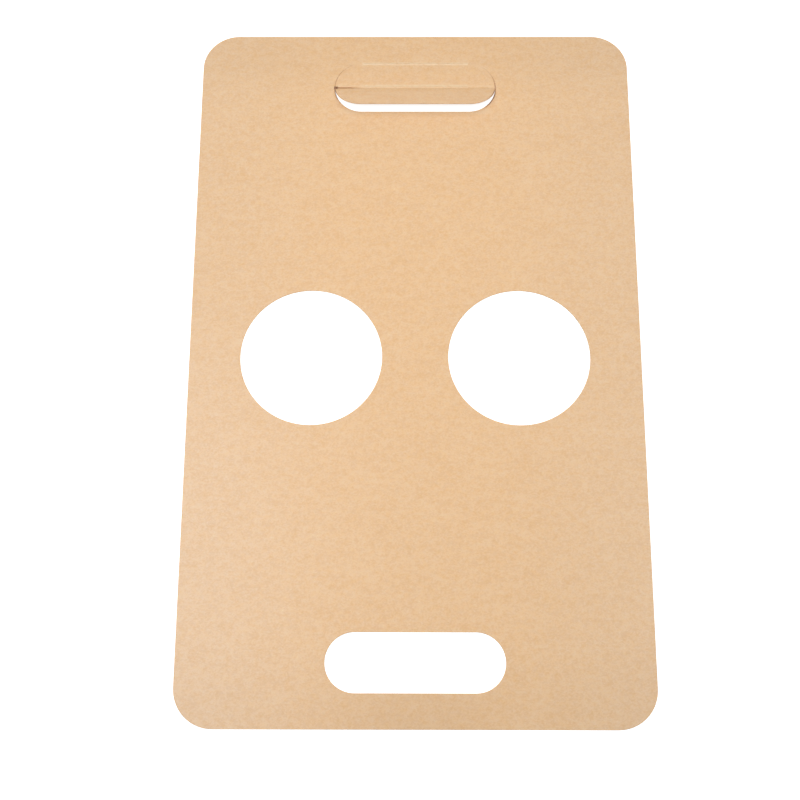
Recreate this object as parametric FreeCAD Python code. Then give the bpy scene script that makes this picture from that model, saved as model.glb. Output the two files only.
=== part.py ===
"""Flat carrier for two drinks cups, die-cut from one sheet of solid kraft board.

Two round holes side by side hold the cups. A hand slot crosses the sheet near
each end. The slot at the near end is open. The one at the far end still holds
its own blank as a flap: the blank hangs on a crease along the slot's far side,
and its near half is lifted a little along a second crease.

Millimetres. The sheet lies on its underside. X runs across it, +Y towards the
end with the flap, +Z up. The origin is the middle of the sheet's underside.
"""

import math
import os

import FreeCAD
import Part

V = FreeCAD.Vector

# The sheet
BOARD_WIDTH = 239.0
BOARD_LENGTH = 385.0
BOARD_THICKNESS = 0.5
CORNER_RADIUS = 20.0

# Cup holes
CUP_HOLE_DIAMETER = 75.0
CUP_HOLE_SPACING = 110.0

# Hand slots, with round ends
SLOT_LENGTH = 90.0
SLOT_HEIGHT = 30.0
HAND_BAR_DEPTH = 17.5  # board between a slot and the end of the sheet

# Flap in the far slot
CUT_GAP = 0.3  # opened width of the cut round the flap
CUT_END_LEFT = 67.5  # where the cut stops on each end arc, up from the mid line
CUT_END_RIGHT = 45.0
FOLD_ANGLE = 25.5  # lift of the near half
FOLD_INNER_RADIUS = 0.3
SPLIT_LENGTH = 15.0  # the fold has cracked open beyond the crease's left end
SPLIT_DEPTH = 0.28  # at the flap's edge
SPLIT_TIP_DEPTH = 0.04

# Creases: a raised bead on the upper side, a pressed groove under it
BEAD_WIDTH = 1.4
BEAD_HEIGHT = 0.22
GROOVE_WIDTH = 0.8
GROOVE_DEPTH = 0.16
BEAD_RUN_OUT = 0.6  # length over which the bead dies away at each end

SLOT_RADIUS = SLOT_HEIGHT / 2
SLOT_Y = BOARD_LENGTH / 2 - HAND_BAR_DEPTH - SLOT_RADIUS
ARC_X = SLOT_LENGTH / 2 - SLOT_RADIUS  # centres of the slots' end arcs
CREASE_LENGTH = 2 * ARC_X
PAST = 2.0  # how far a cutting tool reaches past the board

FOLD_AXIS_Z = BOARD_THICKNESS + FOLD_INNER_RADIUS
FOLD_PIVOT = V(0, SLOT_Y, FOLD_AXIS_Z)
FOLD_DEVELOPED = math.radians(FOLD_ANGLE) * (FOLD_INNER_RADIUS + BOARD_THICKNESS / 2)


def rounded_profile(width, length, radius):
    """Closed wire round the origin: a rectangle with round corners, or a slot."""
    x = width / 2
    y = length / 2
    a = x - radius
    b = y - radius
    c = radius * math.sin(math.pi / 4)
    corners = [
        (V(x, b, 0), V(a + c, b + c, 0), V(a, y, 0)),
        (V(-a, y, 0), V(-a - c, b + c, 0), V(-x, b, 0)),
        (V(-x, -b, 0), V(-a - c, -b - c, 0), V(-a, -y, 0)),
        (V(a, -y, 0), V(a + c, -b - c, 0), V(x, -b, 0)),
    ]
    edges = []
    for i, (start, middle, end) in enumerate(corners):
        edges.append(Part.Arc(start, middle, end).toShape())
        following = corners[(i + 1) % 4][0]
        if end.distanceToPoint(following) > 1e-6:
            edges.append(Part.makeLine(end, following))
    return Part.Wire(edges)


def slab(wire, bottom, top):
    """The wire's area, raised from the height bottom to the height top."""
    face = Part.Face(wire)
    face.translate(V(0, 0, bottom))
    return face.extrude(V(0, 0, top - bottom))


def box_between(low, high):
    size = high - low
    return Part.makeBox(size.x, size.y, size.z, low)


def crease_bar(width, height, level):
    """A bar along X whose rounded top stands height above the given level.

    The bar is width wide at that level.
    """
    radius = (width * width / 4 + height * height) / (2 * height)
    start = V(-CREASE_LENGTH / 2, 0, level + height - radius)
    return Part.makeCylinder(radius, CREASE_LENGTH, start, V(1, 0, 0))


def crease(centre, tilt):
    """The bead to add and the groove to cut for a crease, tilted about its line.

    centre is the middle of the crease on the board's upper face.
    """
    half = CREASE_LENGTH / 2
    top = half - BEAD_RUN_OUT
    outline = [
        V(-half, -PAST, -BOARD_THICKNESS / 2),
        V(half, -PAST, -BOARD_THICKNESS / 2),
        V(half, -PAST, 0),
        V(top, -PAST, BEAD_HEIGHT),
        V(-top, -PAST, BEAD_HEIGHT),
        V(-half, -PAST, 0),
    ]
    window = Part.Face(Part.makePolygon(outline + outline[:1]))
    window = window.extrude(V(0, 2 * PAST, 0))
    bead = crease_bar(BEAD_WIDTH, BEAD_HEIGHT, 0).common(window)
    groove = crease_bar(GROOVE_WIDTH, GROOVE_DEPTH, -BOARD_THICKNESS)
    for tool in (bead, groove):
        tool.rotate(V(0, 0, 0), V(1, 0, 0), -tilt)
        tool.translate(centre)
    return bead, groove


def cut_arc(side, end_angle):
    """The cut on one of the slot's end arcs, from the mid line to its round end."""
    profile = Part.makePolygon(
        [
            V(SLOT_RADIUS - CUT_GAP, 0, -PAST),
            V(SLOT_RADIUS, 0, -PAST),
            V(SLOT_RADIUS, 0, PAST),
            V(SLOT_RADIUS - CUT_GAP, 0, PAST),
            V(SLOT_RADIUS - CUT_GAP, 0, -PAST),
        ]
    )
    sweep = Part.Face(profile).revolve(V(0, 0, 0), V(0, 0, 1), end_angle)
    angle = math.radians(end_angle)
    middle = SLOT_RADIUS - CUT_GAP / 2
    end = V(middle * math.cos(angle), middle * math.sin(angle), -PAST)
    tool = sweep.fuse(Part.makeCylinder(CUT_GAP / 2, 2 * PAST, end))
    tool.translate(V(ARC_X, SLOT_Y, 0))
    if side < 0:
        tool = tool.mirror(V(0, 0, 0), V(1, 0, 0))
    return tool


# The sheet with its cup holes and its open slot, and the near half of the far slot
sheet = slab(
    rounded_profile(BOARD_WIDTH, BOARD_LENGTH, CORNER_RADIUS), 0, BOARD_THICKNESS
)
cuts = []
for side in (-1, 1):
    cuts.append(
        Part.makeCylinder(
            CUP_HOLE_DIAMETER / 2,
            2 * PAST,
            V(side * CUP_HOLE_SPACING / 2, 0, -PAST),
        )
    )
slot = slab(rounded_profile(SLOT_LENGTH, SLOT_HEIGHT, SLOT_RADIUS), -PAST, PAST)
near_slot = slot.copy()
near_slot.translate(V(0, -SLOT_Y, 0))
cuts.append(near_slot)
near_half = box_between(
    V(-SLOT_LENGTH, -SLOT_HEIGHT, -PAST), V(SLOT_LENGTH, 0, PAST)
)
far_half_slot = slot.common(near_half)
far_half_slot.translate(V(0, SLOT_Y, 0))
cuts.append(far_half_slot)
sheet = sheet.cut(cuts)
sheet = sheet.cut([cut_arc(-1, CUT_END_LEFT), cut_arc(1, CUT_END_RIGHT)])

# The flap's lifted half: its flat panel, then the bend that joins it to the sheet
inset_slot = rounded_profile(
    SLOT_LENGTH - 2 * CUT_GAP, SLOT_HEIGHT - 2 * CUT_GAP, SLOT_RADIUS - CUT_GAP
)
panel = slab(inset_slot, 0, BOARD_THICKNESS).common(
    box_between(
        V(-SLOT_LENGTH, -SLOT_HEIGHT, -PAST), V(SLOT_LENGTH, -FOLD_DEVELOPED, PAST)
    )
)
panel.translate(V(0, SLOT_Y + FOLD_DEVELOPED, 0))
panel.rotate(FOLD_PIVOT, V(1, 0, 0), -FOLD_ANGLE)

half_fold = SLOT_LENGTH / 2 - CUT_GAP
section = Part.makePolygon(
    [
        V(-half_fold, SLOT_Y, 0),
        V(half_fold, SLOT_Y, 0),
        V(half_fold, SLOT_Y, BOARD_THICKNESS),
        V(-half_fold, SLOT_Y, BOARD_THICKNESS),
        V(-half_fold, SLOT_Y, 0),
    ]
)
bend = Part.Face(section).revolve(FOLD_PIVOT, V(1, 0, 0), -FOLD_ANGLE)

# Creases along the slot's far side and along the flap's mid line
hinge_bead, hinge_groove = crease(V(0, SLOT_Y + SLOT_RADIUS, BOARD_THICKNESS), 0)
tilt = FOLD_ANGLE / 2
valley = FOLD_PIVOT - V(
    0, math.sin(math.radians(tilt)), math.cos(math.radians(tilt))
) * FOLD_INNER_RADIUS
fold_bead, fold_groove = crease(valley, tilt)

carrier = sheet.fuse([bend, panel])
carrier = carrier.fuse([hinge_bead, fold_bead])
carrier = carrier.cut([hinge_groove, fold_groove])

# The crack is a V that gets narrower and shallower away from the flap's edge
big = SPLIT_DEPTH / math.sqrt(2)
small = SPLIT_TIP_DEPTH / math.sqrt(2)
split = Part.makeWedge(
    -big, 0, -big, -small, -small, big, SPLIT_LENGTH, big, small, small
)
split.rotate(V(0, 0, 0), V(0, 1, 0), 45)
split.rotate(V(0, 0, 0), V(0, 0, 1), -90)
split.translate(V(-SLOT_LENGTH / 2, valley.y, valley.z))
carrier = carrier.cut(split).removeSplitter()

if carrier.ShapeType == "Compound" and len(carrier.Solids) == 1:
    carrier = carrier.Solids[0]
if len(carrier.Solids) != 1 or not carrier.isValid():
    raise RuntimeError("the carrier must be one valid solid")

os.makedirs("parts", exist_ok=True)
carrier.exportStep("parts/carrier_board.step")
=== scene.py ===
"""A flat drinks carrier, die-cut from kraft board: its sheet, paper and lights.

Metres, in the frame of the solids: the sheet lies on z = 0, +Y runs towards the
end whose hand slot is still filled by its flap.
"""

import math

import bmesh
import bpy
from mathutils import Matrix, Vector


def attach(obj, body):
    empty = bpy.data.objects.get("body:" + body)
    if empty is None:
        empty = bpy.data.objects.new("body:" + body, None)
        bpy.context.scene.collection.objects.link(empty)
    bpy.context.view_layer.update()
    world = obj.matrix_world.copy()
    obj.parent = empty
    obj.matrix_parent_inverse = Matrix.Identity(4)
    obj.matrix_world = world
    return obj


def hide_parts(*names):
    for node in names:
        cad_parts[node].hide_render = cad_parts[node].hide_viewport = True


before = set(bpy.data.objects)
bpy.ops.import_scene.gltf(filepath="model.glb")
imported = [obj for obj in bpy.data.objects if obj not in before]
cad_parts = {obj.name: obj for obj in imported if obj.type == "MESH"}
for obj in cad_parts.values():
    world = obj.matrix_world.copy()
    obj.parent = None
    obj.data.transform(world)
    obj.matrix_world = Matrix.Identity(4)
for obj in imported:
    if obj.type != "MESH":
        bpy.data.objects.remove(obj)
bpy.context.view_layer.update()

MM = 0.001

# The sheet
BOARD_WIDTH = 239 * MM
BOARD_LENGTH = 385 * MM
BOARD_THICKNESS = 0.5 * MM
CORNER_RADIUS = 20 * MM
CUP_HOLE_RADIUS = 37.5 * MM
CUP_HOLE_X = 55 * MM
SLOT_LENGTH = 90 * MM
SLOT_HEIGHT = 30 * MM
SLOT_Y = 160 * MM
SLOT_RADIUS = SLOT_HEIGHT / 2
ARC_X = SLOT_LENGTH / 2 - SLOT_RADIUS
HOLE_STEPS = 160  # segments round a cup hole
QUARTER_STEPS = 24  # segments in a quarter of a round end or corner
STEP_ANGLE = math.radians(90 / QUARTER_STEPS)

# The flap
CUT_GAP = 0.016 * MM  # the cut has closed; its rolled lips show as a dark line
CUT_STEPS = {-1: 18, 1: 12}  # steps up the left and right end arc where the cut stops
FOLD_ANGLE = math.radians(25.5)
FOLD_COLUMNS = 180
FOLD_ROWS = 16
FOLD_TURNS = 3  # rows over which the fold turns
HINGE_Y = SLOT_Y + SLOT_RADIUS
HINGE_COLUMNS = 124
CREASE_HALF_LENGTH = 30 * MM
HINGE_BEAD = 0.16 * MM
FOLD_BEAD = 0.12 * MM
BEAD_REACH = 0.7 * MM
FOLD_BEAD_REACH = 0.55 * MM
BEAD_UNEVEN = 0.015 * MM
HINGE_BEAD_SEED = 4
FOLD_BEAD_SEED = 9
RIM_INSET = 0.3 * MM
RIM_ROLL = 0.1 * MM
UNDER_ROLL = 0.05 * MM

# The split beyond the left end of the fold's crease: how far out each step
# starts and how much deeper it goes
SPLIT_STEPS = ((1 * MM, 0.05 * MM), (5 * MM, 0.07 * MM), (9 * MM, 0.1 * MM))

INNER_RADIUS = SLOT_RADIUS - CUT_GAP
STRIP_HALF = INNER_RADIUS * math.sin(STEP_ANGLE)
STRIP_END = ARC_X + INNER_RADIUS * math.cos(STEP_ANGLE)
NEAR = 0.004 * MM
ROW = 2 * STRIP_HALF / FOLD_ROWS
FOLD_BEAD_Y = SLOT_Y + 3 * ROW
SPLIT_Y = SLOT_Y - 2 * ROW
SPLIT_HALF_WIDTH = 1.2 * ROW
SPLIT_LOW_Z = 0.6 * BOARD_THICKNESS
SPLIT_HIGH_Z = 1.5 * BOARD_THICKNESS
SMOOTH_ANGLE = math.radians(30)  # facets that meet more sharply stay crisp

# Z of a face's normal: it lies flat above the first, and stands up below the second
FLAT = 0.8
STEEP = 0.5

# Finishes, in linear colour
KRAFT = (0.84, 0.535, 0.276, 1)
KRAFT_BACK = (0.72, 0.47, 0.27, 1)
KRAFT_CORE = (0.8, 0.56, 0.34, 1)
# pale crushed fibres along the creases, and painted light on the far slot's near lip
# against the lifted flap's shadow
RUBBED_AND_LIT_KRAFT = (0.86, 0.625, 0.38, 1)
# painted shade in the split beyond the left end of the fold's crease
CRACK_SHADE_BROWN = (0.44, 0.2, 0.075, 1)
# bark in the pulp's flecks, and painted shade where the cut opens under the lifted flap
# and at the split's torn end
BARK_AND_SHADE_BROWN = (0.23, 0.09, 0.03, 1)
# painted shade in the closed cut round the flap's ends
CUT_SHADE_BROWN = (0.33, 0.085, 0.02, 1)
EDGE_SHEEN_TINT = (0.961, 0.992, 1.06, 1)  # painted sheen on the long edges, bluer and less red
LIFTED_SHEEN_TINT = (1.02, 1.042, 1.1, 1)  # painted sheen on the flap's lifted half, paler and bluer

# How far the pulp's tone and warmth carry each colour
RED_SWING = 0.56
BLUE_SWING = 1.55
GREEN_SWING = 0.3  # of the warmth
PALE_LIFT = 2.6  # pale fibres lie on top of dark ones

# The pulp: the turn in degrees and the grain in mm of each layer of fibre, how far
# fibres wander, then the grain of its clumps and of its orange and pink patches
FIBRE_LAYERS = (
    (6, (4.0, 3.0, 2)),
    (-9, (1.25, 0.95, 1)),
    (14, (1.0, 0.75, 1)),
    (-60, (0.9, 0.6, 1)),
)
NOISE_ROUGHNESS = 0.55
FIBRE_SWAY = (1.6, 1.6, 0)
SWAY_SCALE = 0.35
FIBRE_DETAIL = 1.5
FLOC_GRAIN = (13, 6, 6)
FLOC_RELIEF = 0.6  # against the fibres' relief
WARM_GRAIN = (2.8, 2.3, 2)
BLUSH_GRAIN = (1.7, 1.4, 2)
BLUSH_TURN = 30
PLY_GRAIN = (3.5, 3.5, 0.06)
FLECK_TURN = math.radians(24)
FLECK_CELLS = (0.16, 0.32, 0.2)  # in a millimetre
FLECK_REACH = (0.09, 0.05)  # spread and least size, as shares of a cell
FLECK_RIM = (1, 0.4)  # a fleck fades in between these shares of its reach

# Contrast of fibres, contrast of flocs and amount of flecks on each face
UPPER_PULP = (0.225, 0.14, 0.003)
EDGE_PULP = (0.1, 0.08, 0.1)
BACK_PULP = (0.09, 0.1, 0.09)
UPPER_WARMTH = 0.54
UPPER_BLUSH = 0.07
UPPER_FLECKS = 0.45
BACK_WARMTH = 0.12
BACK_FLECKS = 0.5

# Roughness, and how far the pulp's relief carries it
UPPER_ROUGHNESS = 0.289
UPPER_ROUGH_SWING = -0.05
BACK_ROUGHNESS = 0.88
BACK_ROUGH_SWING = 0.1
PLY_ROUGHNESS = (0.98, 0.84)  # in the dark plies, and in the pale ones
PLY_RANGE = (0.2, 0.8)
PLY_TONE = (0.5, 0.75)  # spread and least tone
UPPER_RELIEF = 0.02 * MM
PLY_RELIEF = 0.04 * MM
BACK_RELIEF = 0.03 * MM

# Painted light and shade on the upper face, in mm: shade towards both ends and most in
# the middle of the near end, sheen on the long edges and on the flap's lifted half
FAR_BAR_Y = (150, 180)
NEAR_BAR_Y = (-140, -195)
FAR_BAR_SHADE = 0.052
NEAR_BAR_SHADE = (0.11, 0.05)  # painted shade in the middle of the bar, and beyond its middle
NEAR_SHADE_MIDDLE_X = (5, 60)
EDGE_SHEEN_X = (30, 119)
LIFTED_SHEEN_Z = (0.7, 3)  # where the painted sheen on the flap's lifted half starts and is full

# Marks: where a line turns from nothing to full, as shares of its half width
LINE_RIM = (1, 0.2)
PATCH_GRAIN = (2.6, 1.2, 1)
PATCH_RANGE = (0.6, 0.35)
FAINT_SHARE = 0.15
CUT_START_FADE = 3
CUT_END_FADE = 1
UNEVEN_GRAIN = (1.4, 1.4, 1)
UNEVEN_RANGE = (0.3, 0.55, 0.6, 1)  # of the noise, then of the mark

# Lines on the upper face, in mm: rubbed creases, the far slot's near lip (a little
# rubbed, mostly painted light), painted shade in the split and at its torn end. Each
# gives the line's Y and half width, then the X and the fade of its left end and of its
# right end, its patchiness and its share
CREASE_END = CREASE_HALF_LENGTH / MM + 0.5
RUB_Y = 160.95
CRACK_Y = 159.7
HINGE_RUB = (HINGE_Y / MM, 1.5, (-CREASE_END, 1), (CREASE_END, 1), 0.65, 1)
FOLD_RUB = (RUB_Y, 1.5, (-CREASE_END, 1.5), (CREASE_END, 1.5), 0.6, 1)
BEYOND_RUB = (RUB_Y, 1.1, (-45, 2), (45, 2), 0.8, 0.4)
# the far slot's near lip: a little rubbed paler, and painted light where the lifted
# flap's shadow falls
LIP_RUB_AND_LIGHT = (145, 2.6, (-45, 9), (45, 9), 0.2, 0.75)
# painted shade in the split
CRACK_SHADE = (CRACK_Y, 0.85, (-45.2, 0.2), (-29, 9), 0.1, 0.95)
# painted shade at the split's torn end
TORN_END_SHADE = (CRACK_Y, 1.6, (-45.6, 0.1), (-42.9, 1), 0, 1)

# Painted shade in the closed cut and, below the fold, where the cut opens under the
# lifted flap, in mm: its side and half width, then the Y where the mark starts, is at
# its fullest, turns faint and ends, and its share
LEFT_CUT_SHADE = (-1, 0.36, 150, 161, 174, 175, 0.6)
RIGHT_CUT_SHADE = (1, 0.36, 147, 160, 171, 173.5, 1)
LEFT_GAP_SHADE = (-1, 0.7, 151, 158, 160, 161.5, 0.85)
RIGHT_GAP_SHADE = (1, 1, 147, 155.5, 158.5, 160, 1)

# The studio. Each lamp has its name, place, size, power and colour
FLOOR_SIZE = 8
FLOOR_DROP = 0.1 * MM
FLOOR_COLOUR = (0.8, 0.8, 0.8, 1)
FLOOR_GLOW = 0.8
ROOM_COLOUR = (1, 1, 1, 1)
ROOM_LEVEL = 0.153
LAMPS = (
    ("left_softbox", (-0.339, -0.02, 0.665), 0.504, 1.84, (1, 1, 1.047)),
    ("right_softbox", (0.485, 0.042, 0.744), 0.417, 1.24, (1, 1, 1)),
    ("overhead_softbox", (0.005, 0.215, 0.816), 1.062, 4.1, (1, 1, 1)),
)
CAMERA_PITCH = math.radians(-17.206)
CAMERA_YAW = math.radians(-0.312)
CAMERA_ROLL = math.radians(-0.08)
CAMERA_OFFSET = Vector((8.025, 22.796, -748.8)) * MM
CAMERA_LENS = 63.73
CAMERA_SENSOR = 36
CAMERA_NEAREST = 0.01


def edit_mesh():
    """The mesh that is being shaped."""
    return bmesh.from_edit_mesh(bpy.context.object.data)


def pick_verts(test):
    """Select the vertices whose place passes the test, and nothing else."""
    bpy.ops.mesh.select_all(action="DESELECT")
    bpy.ops.mesh.select_mode(type="VERT")
    mesh = edit_mesh()
    for vert in mesh.verts:
        vert.select = test(vert.co)
    mesh.select_flush_mode()
    bmesh.update_edit_mesh(bpy.context.object.data)


def pick_edges(test):
    """Select the edges that pass the test, and nothing else."""
    bpy.ops.mesh.select_all(action="DESELECT")
    bpy.ops.mesh.select_mode(type="EDGE")
    mesh = edit_mesh()
    for edge in mesh.edges:
        edge.select_set(test(edge))
    bmesh.update_edit_mesh(bpy.context.object.data)


def pick_faces(test):
    """Select the faces that pass the test, and nothing else."""
    bpy.ops.mesh.select_all(action="DESELECT")
    bpy.ops.mesh.select_mode(type="FACE")
    mesh = edit_mesh()
    for face in mesh.faces:
        face.select_set(test(face))
    bmesh.update_edit_mesh(bpy.context.object.data)


def rounded_outline(width, length, radius, y):
    """Add the outline of a rectangle with round corners, as edges alone."""
    bpy.ops.mesh.select_all(action="DESELECT")
    bpy.ops.mesh.primitive_plane_add(size=1, location=(0, y, 0))
    bpy.ops.transform.resize(value=(width, length, 1), center_override=(0, y, 0))
    bpy.ops.mesh.bevel(offset=radius, segments=QUARTER_STEPS, affect="VERTICES")
    bpy.ops.mesh.remove_doubles(threshold=NEAR)
    bpy.ops.mesh.delete(type="ONLY_FACE")


def strip_grid(columns, rows, half_length, half_width, y):
    """Add a fine grid along X, for a crease to be pressed into."""
    bpy.ops.mesh.select_all(action="DESELECT")
    bpy.ops.mesh.primitive_grid_add(
        x_subdivisions=columns, y_subdivisions=rows, size=1, location=(0, y, 0)
    )
    bpy.ops.transform.resize(
        value=(2 * half_length, 2 * half_width, 1), center_override=(0, y, 0)
    )


def on_arc(place, radius):
    """Whether a place lies on one of the far slot's end arcs of this radius."""
    dx = abs(place.x) - ARC_X
    dy = place.y - SLOT_Y
    return dx > -NEAR and abs(math.hypot(dx, dy) - radius) < NEAR


def close_cut_end(side):
    """Join the two sides of the cut where it stops on one end arc."""
    angle = CUT_STEPS[side] * STEP_ANGLE
    ends = []
    for radius in (SLOT_RADIUS, INNER_RADIUS):
        x = side * (ARC_X + radius * math.cos(angle))
        ends.append(Vector((x, SLOT_Y + radius * math.sin(angle), 0)))
    pick_verts(lambda place: min((place - end).length for end in ends) < NEAR)
    bpy.ops.mesh.edge_face_add()


def rim_edge(edge):
    """Whether an edge has a face on one side at most."""
    return len(edge.link_faces) < 2


def flap_rim_edge(edge):
    """Whether an edge bounds the flap's lifted half."""
    limit = SLOT_Y - STRIP_HALF + NEAR
    a, b = (vert.co for vert in edge.verts)
    if a.y > limit or b.y > limit or not rim_edge(edge):
        return False
    low_row = abs(a.y - b.y) < NEAR and abs(a.y - (SLOT_Y - STRIP_HALF)) < NEAR
    if low_row and abs(a.x) < STRIP_END + NEAR and abs(b.x) < STRIP_END + NEAR:
        return True
    straight = abs(a.y - (SLOT_Y - INNER_RADIUS)) < NEAR and abs(a.y - b.y) < NEAR
    return straight or (on_arc(a, INNER_RADIUS) and on_arc(b, INNER_RADIUS))


def strip_end_edge(edge):
    """Whether an edge is the fold strip's short end, on the cut."""
    a, b = (vert.co for vert in edge.verts)
    return (
        abs(abs(a.x) - STRIP_END) < NEAR
        and abs(abs(b.x) - STRIP_END) < NEAR
        and abs(a.y - SLOT_Y) < STRIP_HALF + NEAR
        and abs(b.y - SLOT_Y) < STRIP_HALF + NEAR
    )


def lay_out_sheet():
    """Lay out the die's lines, fill the board between them and raise it."""
    bpy.ops.object.select_all(action="DESELECT")
    bpy.ops.mesh.primitive_circle_add(
        vertices=HOLE_STEPS, radius=CUP_HOLE_RADIUS, location=(0, 0, 0)
    )
    sheet = bpy.context.object
    sheet.name = "die_cut_sheet"
    sheet.data.name = "die_cut_sheet"
    bpy.ops.object.mode_set(mode="EDIT")
    bpy.ops.mesh.select_all(action="SELECT")
    bpy.ops.transform.translate(value=(CUP_HOLE_X, 0, 0))
    bpy.ops.mesh.select_all(action="DESELECT")
    bpy.ops.mesh.primitive_circle_add(
        vertices=HOLE_STEPS, radius=CUP_HOLE_RADIUS, location=(-CUP_HOLE_X, 0, 0)
    )
    rounded_outline(BOARD_WIDTH, BOARD_LENGTH, CORNER_RADIUS, 0)
    rounded_outline(SLOT_LENGTH, SLOT_HEIGHT, SLOT_RADIUS, -SLOT_Y)

    # The far slot's outline and the flap's own, both open above the cut's ends
    for radius in (SLOT_RADIUS, INNER_RADIUS):
        rounded_outline(2 * (ARC_X + radius), 2 * radius, radius, SLOT_Y)
        for side, steps in CUT_STEPS.items():
            top = SLOT_Y + radius * math.sin((steps + 0.5) * STEP_ANGLE)
            pick_verts(
                lambda place: place.y > top
                and place.y < SLOT_Y + radius + NEAR
                and 0 < side * place.x < ARC_X + radius + NEAR
            )
            bpy.ops.mesh.delete(type="VERT")
    pick_verts(
        lambda place: on_arc(place, INNER_RADIUS) and abs(place.y - SLOT_Y) < NEAR
    )
    bpy.ops.mesh.delete(type="VERT")
    close_cut_end(-1)
    close_cut_end(1)

    strip_grid(FOLD_COLUMNS, FOLD_ROWS, STRIP_END, STRIP_HALF, SLOT_Y)
    strip_grid(
        HINGE_COLUMNS, FOLD_ROWS, CREASE_HALF_LENGTH + MM, STRIP_HALF, HINGE_Y
    )
    bpy.ops.mesh.select_all(action="SELECT")
    bpy.ops.mesh.remove_doubles(threshold=NEAR)

    pick_edges(
        lambda edge: rim_edge(edge)
        and not flap_rim_edge(edge)
        and not strip_end_edge(edge)
    )
    bpy.ops.mesh.fill(use_beauty=True)
    pick_edges(flap_rim_edge)
    bpy.ops.mesh.fill(use_beauty=True)
    pick_faces(lambda face: face.normal.z < 0)
    bpy.ops.mesh.flip_normals()
    bpy.ops.mesh.select_all(action="SELECT")
    bpy.ops.mesh.inset(thickness=RIM_INSET, use_boundary=True, use_even_offset=True)
    bpy.ops.mesh.select_all(action="SELECT")
    bpy.ops.transform.translate(value=(0, 0, BOARD_THICKNESS))
    return sheet


def in_lifted_half(place, row_y):
    """Whether a place is in the flap, on the near side of a row of the fold."""
    out = max(abs(place.x) - ARC_X, 0)
    inside = math.hypot(out, min(place.y - SLOT_Y, 0)) < INNER_RADIUS + NEAR
    return inside and place.y < row_y - NEAR and abs(place.x) < ARC_X + SLOT_RADIUS


def fold_flap():
    """Lift the flap's near half, turning it a little at each row of the fold."""
    turn = FOLD_ANGLE / FOLD_TURNS
    y = SLOT_Y
    z = BOARD_THICKNESS
    for i in range(FOLD_TURNS):
        pick_verts(lambda place: in_lifted_half(place, y))
        bpy.ops.transform.rotate(
            value=turn, orient_axis="X", center_override=(0, y, z)
        )
        y -= ROW * math.cos((i + 1) * turn)
        z += ROW * math.sin((i + 1) * turn)


def press_crease(y, height, reach, seed):
    """Raise a crease's bead along the row of vertices at y."""
    half = CREASE_HALF_LENGTH - BEAD_REACH
    pick_verts(
        lambda place: abs(place.y - y) < 10 * NEAR
        and abs(place.x) < half
        and place.z < 2 * BOARD_THICKNESS
    )
    bpy.ops.transform.translate(
        value=(0, 0, height),
        use_proportional_edit=True,
        use_proportional_connected=True,
        proportional_edit_falloff="SMOOTH",
        proportional_size=reach,
    )
    pick_verts(
        lambda place: abs(place.y - y) < reach / 2 and abs(place.x) < half
    )
    bpy.ops.transform.vertex_random(
        offset=BEAD_UNEVEN, uniform=0.3, normal=0.7, seed=seed
    )


def thicken(sheet):
    """Give the sheet its thickness below the upper face."""
    bpy.ops.object.mode_set(mode="OBJECT")
    bpy.ops.object.select_all(action="DESELECT")
    sheet.select_set(True)
    bpy.context.view_layer.objects.active = sheet
    board = sheet.modifiers.new("board", "SOLIDIFY")
    board.thickness = BOARD_THICKNESS
    board.offset = -1
    board.use_even_offset = True
    bpy.ops.object.modifier_apply(modifier=board.name)
    bpy.ops.object.mode_set(mode="EDIT")


def lip_edge(edge, up):
    """Whether an edge joins a cut wall to the upper (up = 1) or lower face."""
    if len(edge.link_faces) != 2:
        return False
    heights = sorted(face.normal.z * up for face in edge.link_faces)
    return heights[1] > FLAT and abs(heights[0]) < STEEP


def roll_lips():
    """Round the edges as the cutting rule leaves them, more on its own side."""
    for up, roll, segments in ((1, RIM_ROLL, 3), (-1, UNDER_ROLL, 2)):
        pick_edges(lambda edge: lip_edge(edge, up))
        bpy.ops.mesh.bevel(
            offset=roll, segments=segments, profile=0.5, clamp_overlap=False
        )


def open_split():
    """Crack the fold open between the crease's left end and the flap's edge."""
    for reach, depth in SPLIT_STEPS:
        pick_verts(
            lambda place: place.x < -CREASE_HALF_LENGTH - reach
            and place.x > -STRIP_END - RIM_INSET
            and abs(place.y - SPLIT_Y) < SPLIT_HALF_WIDTH
            and place.z > SPLIT_LOW_Z
            and place.z < SPLIT_HIGH_Z
        )
        bpy.ops.transform.translate(value=(0, 0, -depth))


def share_out_finishes(sheet, upper, edge, underside):
    """Give the upper face, the cut edges and the underside their own finish."""
    for finish in (upper, edge, underside):
        sheet.data.materials.append(finish)
    for face in sheet.data.polygons:
        if face.normal.z > STEEP:
            face.material_index = 0
        elif face.normal.z < -STEEP:
            face.material_index = 2
        else:
            face.material_index = 1


def new_group(name, inputs, outputs):
    """Start a node group; give back its tree and its given and wanted sockets.

    Place is a vector, and every other socket is a number.
    """
    tree = bpy.data.node_groups.new(name, "ShaderNodeTree")
    for direction, sockets in (("INPUT", inputs), ("OUTPUT", outputs)):
        for socket in sockets:
            kind = "NodeSocketVector" if socket == "Place" else "NodeSocketFloat"
            tree.interface.new_socket(socket, in_out=direction, socket_type=kind)
    given = tree.nodes.new("NodeGroupInput").outputs
    wanted = tree.nodes.new("NodeGroupOutput").inputs
    return tree, given, wanted


def put(tree, kind, values=(), **settings):
    """Add a node. Each of the values is a socket and a number or a link for it."""
    made = tree.nodes.new(kind)
    for name, value in settings.items():
        setattr(made, name, value)
    for socket, value in values:
        if isinstance(value, bpy.types.NodeSocket):
            tree.links.new(value, made.inputs[socket])
        else:
            made.inputs[socket].default_value = value
    return made


def maths(tree, operation, *values):
    """A Math node's result."""
    return put(
        tree, "ShaderNodeMath", list(enumerate(values)), operation=operation
    ).outputs[0]


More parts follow.
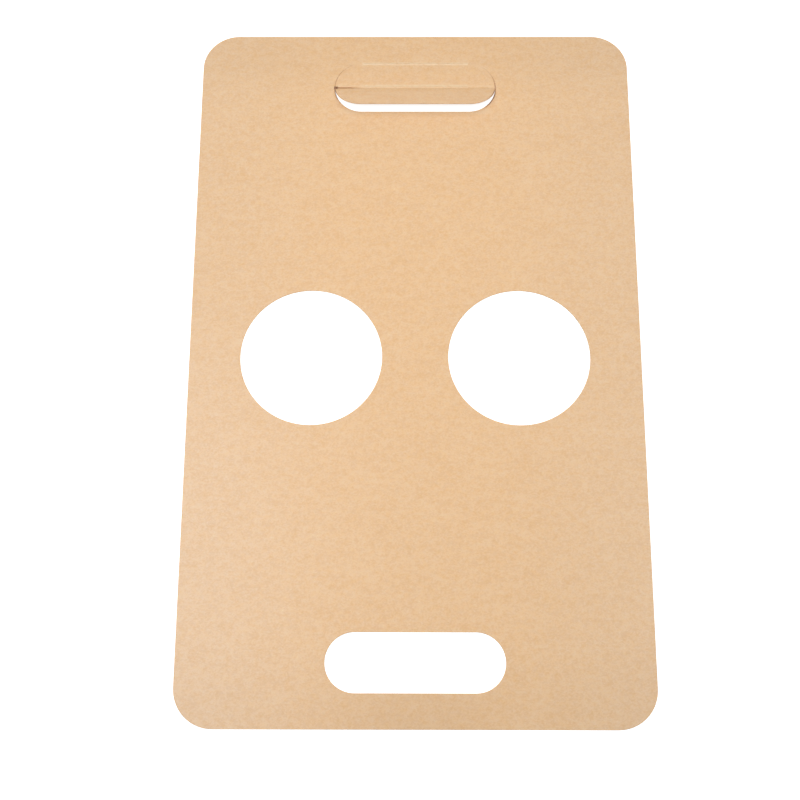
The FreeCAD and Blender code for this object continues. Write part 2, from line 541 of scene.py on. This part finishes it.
def ramp(tree, value, start, end, low=0, high=1):
    """A smooth step from low at start to high at end."""
    limits = [
        ("Value", value),
        ("From Min", start),
        ("From Max", end),
        ("To Min", low),
        ("To Max", high),
    ]
    step = put(tree, "ShaderNodeMapRange", limits, interpolation_type="SMOOTHSTEP")
    return step.outputs["Result"]


def blend_colours(tree, share, first, second, how="MIX"):
    """The second colour over the first, by a share from 0 to 1."""
    # Sockets 6 and 7 of a Mix node are its two colours, and 2 is its result
    mix = put(
        tree,
        "ShaderNodeMix",
        [(0, share), (6, first), (7, second)],
        data_type="RGBA",
        blend_type=how,
    )
    return mix.outputs[2]


def stretched_noise(tree, place, turn, size, detail, seed):
    """Noise whose grains measure size mm along X, Y and Z, turned about Z."""
    along, across, through = size
    turned = put(
        tree,
        "ShaderNodeMapping",
        [
            ("Vector", place),
            ("Location", (seed * 17.3, seed * 9.1, seed * 5.7)),
            ("Rotation", (0, 0, math.radians(turn))),
            ("Scale", (1 / along, 1 / across, 1 / through)),
        ],
        vector_type="POINT",
    )
    noise = put(
        tree,
        "ShaderNodeTexNoise",
        [
            ("Vector", turned.outputs[0]),
            ("Scale", 1),
            ("Detail", detail),
            ("Roughness", NOISE_ROUGHNESS),
        ],
        noise_dimensions="3D",
    )
    return noise.outputs["Fac"]


def bump(tree, shader, height, depth):
    """Give a material its relief, of this depth where the height is 1."""
    relief = put(
        tree,
        "ShaderNodeBump",
        [("Height", height), ("Strength", 1), ("Distance", depth)],
    )
    tree.links.new(relief.outputs[0], shader.inputs["Normal"])


def strongest(tree, *masks):
    """The strongest of several masks at each place."""
    most = masks[0]
    for mask in masks[1:]:
        most = maths(tree, "MAXIMUM", most, mask)
    return most


def kraft_fibre_group():
    """Pulp: fibres laid mostly across the sheet, flocs, flecks. Place is in mm."""
    tree, given, wanted = new_group(
        "kraft_fibres",
        ("Place", "Fibre Contrast", "Floc Contrast", "Fleck Amount"),
        ("Tone", "Warmth", "Blush", "Flecks", "Relief"),
    )
    sway = put(
        tree,
        "ShaderNodeTexNoise",
        [("Vector", given["Place"]), ("Scale", SWAY_SCALE), ("Detail", 2.0)],
        noise_dimensions="3D",
    )
    swayed = put(
        tree,
        "ShaderNodeVectorMath",
        [(0, sway.outputs["Color"]), (1, FIBRE_SWAY), (2, given["Place"])],
        operation="MULTIPLY_ADD",
    ).outputs[0]
    fibres = None
    for i, (turn, size) in enumerate(FIBRE_LAYERS):
        strand = stretched_noise(tree, swayed, turn, size, FIBRE_DETAIL, i + 1)
        fibres = strand if fibres is None else maths(tree, "ADD", fibres, strand)
    fibres = maths(tree, "SUBTRACT", fibres, 0.5 * len(FIBRE_LAYERS))
    flocs = stretched_noise(tree, given["Place"], 0, FLOC_GRAIN, 3, 5)
    flocs = maths(tree, "SUBTRACT", flocs, 0.5)
    tone = maths(tree, "MULTIPLY", fibres, given["Fibre Contrast"])
    tone = maths(tree, "MULTIPLY_ADD", flocs, given["Floc Contrast"], tone)
    lifted = maths(tree, "MULTIPLY", tone, PALE_LIFT)
    tone = maths(tree, "MULTIPLY_ADD", tone, lifted, tone)
    tree.links.new(maths(tree, "ADD", tone, 1), wanted["Tone"])

    pulp_mix = stretched_noise(tree, given["Place"], 0, WARM_GRAIN, 4, 23)
    pulp_mix = maths(tree, "SUBTRACT", pulp_mix, 0.5)
    tree.links.new(pulp_mix, wanted["Warmth"])
    blush = stretched_noise(tree, given["Place"], BLUSH_TURN, BLUSH_GRAIN, 3, 31)
    tree.links.new(maths(tree, "SUBTRACT", blush, 0.5), wanted["Blush"])

    # Each fleck is a short sliver of bark; most cells hold none
    sliver_place = put(
        tree,
        "ShaderNodeMapping",
        [
            ("Vector", swayed),
            ("Rotation", (0, 0, FLECK_TURN)),
            ("Scale", FLECK_CELLS),
        ],
    )
    cells = put(
        tree,
        "ShaderNodeTexVoronoi",
        [("Vector", sliver_place.outputs[0]), ("Scale", 1)],
        voronoi_dimensions="3D",
        feature="F1",
    )
    chosen = put(tree, "ShaderNodeSeparateColor", [("Color", cells.outputs["Color"])])
    rare = maths(tree, "GREATER_THAN", given["Fleck Amount"], chosen.outputs["Red"])
    reach = maths(tree, "MULTIPLY_ADD", chosen.outputs["Green"], *FLECK_REACH)
    core = maths(tree, "DIVIDE", cells.outputs["Distance"], reach)
    core = ramp(tree, core, *FLECK_RIM)
    tree.links.new(maths(tree, "MULTIPLY", core, rare), wanted["Flecks"])

    relief = maths(tree, "MULTIPLY_ADD", flocs, FLOC_RELIEF, fibres)
    tree.links.new(relief, wanted["Relief"])
    return tree


def line_marks_group():
    """A mask along a line across the sheet, fading out at its ends, for rubbed wear and
    for painted light and shade. Place is in mm.
    """
    ends = ("Left X", "Left Fade", "Right X", "Right Fade")
    tree, given, wanted = new_group(
        "line_marks",
        ("Place", "Line Y", "Half Width", *ends, "Patchiness"),
        ("Mask",),
    )
    axes = put(tree, "ShaderNodeSeparateXYZ", [(0, given["Place"])]).outputs
    off_line = maths(tree, "SUBTRACT", axes["Y"], given["Line Y"])
    off_line = maths(tree, "ABSOLUTE", off_line)
    off_line = maths(tree, "DIVIDE", off_line, given["Half Width"])
    mask = ramp(tree, off_line, *LINE_RIM)
    past_left = maths(tree, "SUBTRACT", axes["X"], given["Left X"])
    mask = maths(
        tree, "MULTIPLY", mask, ramp(tree, past_left, 0, given["Left Fade"])
    )
    past_right = maths(tree, "SUBTRACT", given["Right X"], axes["X"])
    mask = maths(
        tree, "MULTIPLY", mask, ramp(tree, past_right, 0, given["Right Fade"])
    )
    patches = stretched_noise(tree, given["Place"], 0, PATCH_GRAIN, 2, 8)
    bare = ramp(tree, patches, *PATCH_RANGE)
    bare = maths(tree, "MULTIPLY", bare, given["Patchiness"])
    kept = maths(tree, "SUBTRACT", 1, bare)
    tree.links.new(maths(tree, "MULTIPLY", mask, kept), wanted["Mask"])
    return tree


def cut_shade_group():
    """Painted shade along the cut round one end of the flap. Place is in mm."""
    heights = ("Low Y", "Full Y", "Faint Y", "End Y")
    tree, given, wanted = new_group(
        "cut_shade", ("Place", "Side", *heights, "Half Width"), ("Mask",)
    )
    axes = put(tree, "ShaderNodeSeparateXYZ", [(0, given["Place"])]).outputs
    out = maths(tree, "MULTIPLY", axes["X"], given["Side"])
    out = maths(tree, "SUBTRACT", out, ARC_X / MM)
    up = maths(tree, "SUBTRACT", axes["Y"], SLOT_Y / MM)
    from_centre = maths(tree, "MULTIPLY", out, out)
    from_centre = maths(tree, "MULTIPLY_ADD", up, up, from_centre)
    from_centre = maths(tree, "SQRT", from_centre)
    off_line = maths(tree, "SUBTRACT", from_centre, SLOT_RADIUS / MM)
    off_line = maths(tree, "ABSOLUTE", off_line)
    off_line = maths(tree, "DIVIDE", off_line, given["Half Width"])
    mask = ramp(tree, off_line, *LINE_RIM)
    mask = maths(tree, "MULTIPLY", mask, maths(tree, "GREATER_THAN", out, 0))
    dark = ramp(tree, axes["Y"], given["Full Y"], given["Faint Y"], 1, FAINT_SHARE)
    mask = maths(tree, "MULTIPLY", mask, dark)
    from_low = maths(tree, "SUBTRACT", axes["Y"], given["Low Y"])
    begun = ramp(tree, from_low, 0, CUT_START_FADE)
    mask = maths(tree, "MULTIPLY", mask, begun)
    to_end = maths(tree, "SUBTRACT", given["End Y"], axes["Y"])
    lasting = ramp(tree, to_end, 0, CUT_END_FADE)
    mask = maths(tree, "MULTIPLY", mask, lasting)
    uneven = stretched_noise(tree, given["Place"], 0, UNEVEN_GRAIN, 2, 11)
    uneven = ramp(tree, uneven, *UNEVEN_RANGE)
    tree.links.new(maths(tree, "MULTIPLY", mask, uneven), wanted["Mask"])
    return tree


def place_group(tree, group, values):
    """Place a node group in a material, with its own values."""
    return put(tree, "ShaderNodeGroup", values, node_tree=group).outputs


def laid_pulp(tree, fibres, place, amounts):
    """The pulp of one face, with its contrasts and its amount of flecks."""
    names = ("Fibre Contrast", "Floc Contrast", "Fleck Amount")
    return place_group(tree, fibres, [("Place", place), *zip(names, amounts)])


def new_material(name):
    """A material with its shader, and the surface's place in mm."""
    material = bpy.data.materials.new(name)
    material.use_nodes = True
    tree = material.node_tree
    shader = tree.nodes["Principled BSDF"]
    where = put(tree, "ShaderNodeTexCoord").outputs["Object"]
    place = put(
        tree,
        "ShaderNodeMapping",
        [("Vector", where), ("Scale", (1 / MM, 1 / MM, 1 / MM))],
    ).outputs[0]
    return material, tree, shader, place


def tinted(tree, colour, tone, warmth=0, blush=0):
    """A colour browner where the tone is dark; warmth makes it orange, blush pink."""
    swing = maths(tree, "SUBTRACT", tone, 1)
    red = maths(tree, "MULTIPLY_ADD", swing, RED_SWING, 1)
    green = maths(tree, "MULTIPLY_ADD", warmth, -GREEN_SWING, tone)
    green = maths(tree, "SUBTRACT", green, blush)
    blue = maths(tree, "MULTIPLY_ADD", swing, BLUE_SWING, 1)
    blue = maths(tree, "SUBTRACT", blue, warmth)
    tint = put(tree, "ShaderNodeCombineColor", [(0, red), (1, green), (2, blue)])
    return blend_colours(tree, 1, colour, tint.outputs[0], "MULTIPLY")


def marked_line(
    tree, line_group, place, line_y, half_width, left, right, patchiness, share
):
    """A line mask, for wear and for painted light and shade; left and right each give
    an end's X and its fade.
    """
    mask = place_group(
        tree,
        line_group,
        [
            ("Place", place),
            ("Line Y", line_y),
            ("Half Width", half_width),
            ("Left X", left[0]),
            ("Left Fade", left[1]),
            ("Right X", right[0]),
            ("Right Fade", right[1]),
            ("Patchiness", patchiness),
        ],
    )["Mask"]
    return maths(tree, "MULTIPLY", mask, share)


def painted_cut_shade(
    tree, shade, place, side, half_width, low, full, faint, end, share
):
    """Painted shade along the cut on one side; low to end are places along Y."""
    mask = place_group(
        tree,
        shade,
        [
            ("Place", place),
            ("Side", side),
            ("Low Y", low),
            ("Full Y", full),
            ("Faint Y", faint),
            ("End Y", end),
            ("Half Width", half_width),
        ],
    )["Mask"]
    return maths(tree, "MULTIPLY", mask, share)


def paint_sheen_and_shade(tree, place, colour):
    """Painted light and shade: darken towards both ends, most in the middle of the near
    end; paint sheen on the long edges and the lifted half.
    """
    axes = put(tree, "ShaderNodeSeparateXYZ", [(0, place)]).outputs
    # painted shade: darker towards both ends of the sheet, most in the middle of the
    # near end
    far = ramp(tree, axes["Y"], *FAR_BAR_Y, 1, 1 - FAR_BAR_SHADE)
    middle_shade = ramp(tree, maths(tree, "ABSOLUTE", axes["X"]), *NEAR_SHADE_MIDDLE_X, *NEAR_BAR_SHADE)
    near = ramp(tree, axes["Y"], *NEAR_BAR_Y, 1, maths(tree, "SUBTRACT", 1, middle_shade))
    end_shade = maths(tree, "MULTIPLY", far, near)
    colour = blend_colours(tree, 1, colour, end_shade, "MULTIPLY")
    # painted sheen on the long edges
    edge = ramp(tree, maths(tree, "ABSOLUTE", axes["X"]), *EDGE_SHEEN_X)
    colour = blend_colours(tree, edge, colour, EDGE_SHEEN_TINT, "MULTIPLY")
    # painted sheen on the flap's lifted half
    lifted = ramp(tree, axes["Z"], *LIFTED_SHEEN_Z)
    return blend_colours(tree, lifted, colour, LIFTED_SHEEN_TINT, "MULTIPLY")


def upper_face_material(fibres, line_group, shade):
    """The outer face: smooth brown kraft with its creases and wear, painted shade in
    its cut and split, and painted light, shade and sheen over it.
    """
    material, tree, shader, place = new_material("kraft_upper_face")
    pulp = laid_pulp(tree, fibres, place, UPPER_PULP)
    warmth = maths(tree, "MULTIPLY", pulp["Warmth"], UPPER_WARMTH)
    blush = maths(tree, "MULTIPLY", pulp["Blush"], UPPER_BLUSH)
    colour = tinted(tree, KRAFT, pulp["Tone"], warmth, blush)
    colour = paint_sheen_and_shade(tree, place, colour)
    flecked = maths(tree, "MULTIPLY", pulp["Flecks"], UPPER_FLECKS)
    colour = blend_colours(tree, flecked, colour, BARK_AND_SHADE_BROWN)

    # pale rubbed creases, and painted light on the far slot's near lip
    pale_lines = (HINGE_RUB, FOLD_RUB, BEYOND_RUB, LIP_RUB_AND_LIGHT)
    rubbed_and_lit = strongest(tree, *[marked_line(tree, line_group, place, *rub) for rub in pale_lines])
    colour = blend_colours(tree, rubbed_and_lit, colour, RUBBED_AND_LIT_KRAFT)
    # painted shade along the cut's lips
    lips = [painted_cut_shade(tree, shade, place, *cut) for cut in (LEFT_CUT_SHADE, RIGHT_CUT_SHADE)]
    colour = blend_colours(tree, strongest(tree, *lips), colour, CUT_SHADE_BROWN)
    # painted shade in the split
    crack_shade = marked_line(tree, line_group, place, *CRACK_SHADE)
    colour = blend_colours(tree, crack_shade, colour, CRACK_SHADE_BROWN)
    # painted shade where the cut opens under the lifted flap, and at the split's torn
    # end
    roots = [painted_cut_shade(tree, shade, place, *root) for root in (LEFT_GAP_SHADE, RIGHT_GAP_SHADE)]
    # painted shade at the split's torn end
    torn_end_shade = marked_line(tree, line_group, place, *TORN_END_SHADE)
    colour = blend_colours(tree, strongest(tree, *roots, torn_end_shade), colour, BARK_AND_SHADE_BROWN)
    tree.links.new(colour, shader.inputs["Base Color"])

    rough = maths(
        tree, "MULTIPLY_ADD", pulp["Relief"], UPPER_ROUGH_SWING, UPPER_ROUGHNESS
    )
    tree.links.new(rough, shader.inputs["Roughness"])
    bump(tree, shader, pulp["Relief"], UPPER_RELIEF)
    return material


def cut_edge_material(fibres):
    """The board seen edge on: darker, its plies squashed into thin level lines."""
    material, tree, shader, place = new_material("kraft_cut_edge")
    pulp = laid_pulp(tree, fibres, place, EDGE_PULP)
    plies = stretched_noise(tree, place, 0, PLY_GRAIN, 3, 14)
    tone = maths(tree, "MULTIPLY_ADD", plies, *PLY_TONE)
    tone = maths(tree, "MULTIPLY", tone, pulp["Tone"])
    tree.links.new(tinted(tree, KRAFT_CORE, tone), shader.inputs["Base Color"])
    rough = ramp(tree, plies, *PLY_RANGE, *PLY_ROUGHNESS)
    tree.links.new(rough, shader.inputs["Roughness"])
    bump(tree, shader, plies, PLY_RELIEF)
    return material


def underside_material(fibres):
    """The back of the board: duller and a little coarser than the outer face."""
    material, tree, shader, place = new_material("kraft_underside")
    pulp = laid_pulp(tree, fibres, place, BACK_PULP)
    warmth = maths(tree, "MULTIPLY", pulp["Warmth"], BACK_WARMTH)
    colour = tinted(tree, KRAFT_BACK, pulp["Tone"], warmth)
    flecked = maths(tree, "MULTIPLY", pulp["Flecks"], BACK_FLECKS)
    colour = blend_colours(tree, flecked, colour, BARK_AND_SHADE_BROWN)
    tree.links.new(colour, shader.inputs["Base Color"])
    rough = maths(
        tree, "MULTIPLY_ADD", pulp["Relief"], BACK_ROUGH_SWING, BACK_ROUGHNESS
    )
    tree.links.new(rough, shader.inputs["Roughness"])
    bump(tree, shader, pulp["Relief"], BACK_RELIEF)
    return material


def seen_directly(tree):
    """1 for what the camera, a reflection or clear material sees, else 0."""
    path = put(tree, "ShaderNodeLightPath").outputs
    seen = maths(tree, "MAXIMUM", path["Is Camera Ray"], path["Is Glossy Ray"])
    return maths(tree, "MAXIMUM", seen, path["Is Transmission Ray"])


def lay_floor():
    """A white studio floor: it stays white to the camera and takes the shadow."""
    bpy.ops.object.select_all(action="DESELECT")
    bpy.ops.mesh.primitive_plane_add(size=FLOOR_SIZE, location=(0, 0, 0))
    floor = bpy.context.object
    floor.name = "studio_floor"
    floor.data.name = "studio_floor"
    bpy.ops.object.mode_set(mode="EDIT")
    bpy.ops.mesh.select_all(action="SELECT")
    bpy.ops.transform.translate(value=(0, 0, -FLOOR_DROP))
    bpy.ops.object.mode_set(mode="OBJECT")
    material = bpy.data.materials.new("white_floor")
    material.use_nodes = True
    tree = material.node_tree
    tree.nodes.remove(tree.nodes["Principled BSDF"])
    paint = put(tree, "ShaderNodeBsdfDiffuse", [("Color", FLOOR_COLOUR)])
    glow = put(
        tree,
        "ShaderNodeEmission",
        [("Strength", maths(tree, "MULTIPLY", seen_directly(tree), FLOOR_GLOW))],
    )
    both = put(
        tree, "ShaderNodeAddShader", [(0, paint.outputs[0]), (1, glow.outputs[0])]
    )
    tree.links.new(both.outputs[0], tree.nodes["Material Output"].inputs["Surface"])
    floor.data.materials.append(material)


def hang_lamp(name, place, size, power, colour):
    """A soft square lamp that faces the middle of the sheet."""
    lamp = bpy.data.lights.new(name, "AREA")
    lamp.shape = "SQUARE"
    lamp.size = size
    lamp.energy = power
    lamp.color = colour
    held = bpy.data.objects.new(name, lamp)
    held.location = place
    held.rotation_euler = (-Vector(place)).to_track_quat("-Z", "Y").to_euler()
    bpy.context.scene.collection.objects.link(held)


def fill_room():
    """White walls: white where they are seen, and a soft light on the sheet."""
    room = bpy.data.worlds.new("white_room")
    room.use_nodes = True
    tree = room.node_tree
    background = tree.nodes["Background"]
    background.inputs["Color"].default_value = ROOM_COLOUR
    level = ramp(tree, seen_directly(tree), 0, 1, ROOM_LEVEL, 1)
    tree.links.new(level, background.inputs["Strength"])
    bpy.context.scene.world = room


def stand_camera():
    """Where the photograph was taken from."""
    turn = (
        Matrix.Rotation(CAMERA_ROLL, 3, "Z")
        @ Matrix.Rotation(CAMERA_YAW, 3, "Y")
        @ Matrix.Rotation(CAMERA_PITCH, 3, "X")
    )
    view = bpy.data.cameras.new("photo_view")
    view.lens = CAMERA_LENS
    view.sensor_width = CAMERA_SENSOR
    view.clip_start = CAMERA_NEAREST
    held = bpy.data.objects.new("photo_view", view)
    held.rotation_euler = turn.transposed().to_euler()
    held.location = -(turn.transposed() @ CAMERA_OFFSET)
    held.location.z += BOARD_THICKNESS
    bpy.context.scene.collection.objects.link(held)
    bpy.context.scene.camera = held


sheet = lay_out_sheet()
fold_flap()
press_crease(HINGE_Y, HINGE_BEAD, BEAD_REACH, HINGE_BEAD_SEED)
press_crease(FOLD_BEAD_Y, FOLD_BEAD, FOLD_BEAD_REACH, FOLD_BEAD_SEED)
thicken(sheet)
roll_lips()
open_split()
bpy.ops.object.mode_set(mode="OBJECT")
bpy.ops.object.shade_smooth_by_angle(angle=SMOOTH_ANGLE)
fibres = kraft_fibre_group()
share_out_finishes(
    sheet,
    upper_face_material(fibres, line_marks_group(), cut_shade_group()),
    cut_edge_material(fibres),
    underside_material(fibres),
)
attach(sheet, "root")
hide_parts("carrier_board")

lay_floor()
fill_room()
for lamp in LAMPS:
    hang_lamp(*lamp)
stand_camera()
bpy.context.scene.view_settings.view_transform = "Standard"
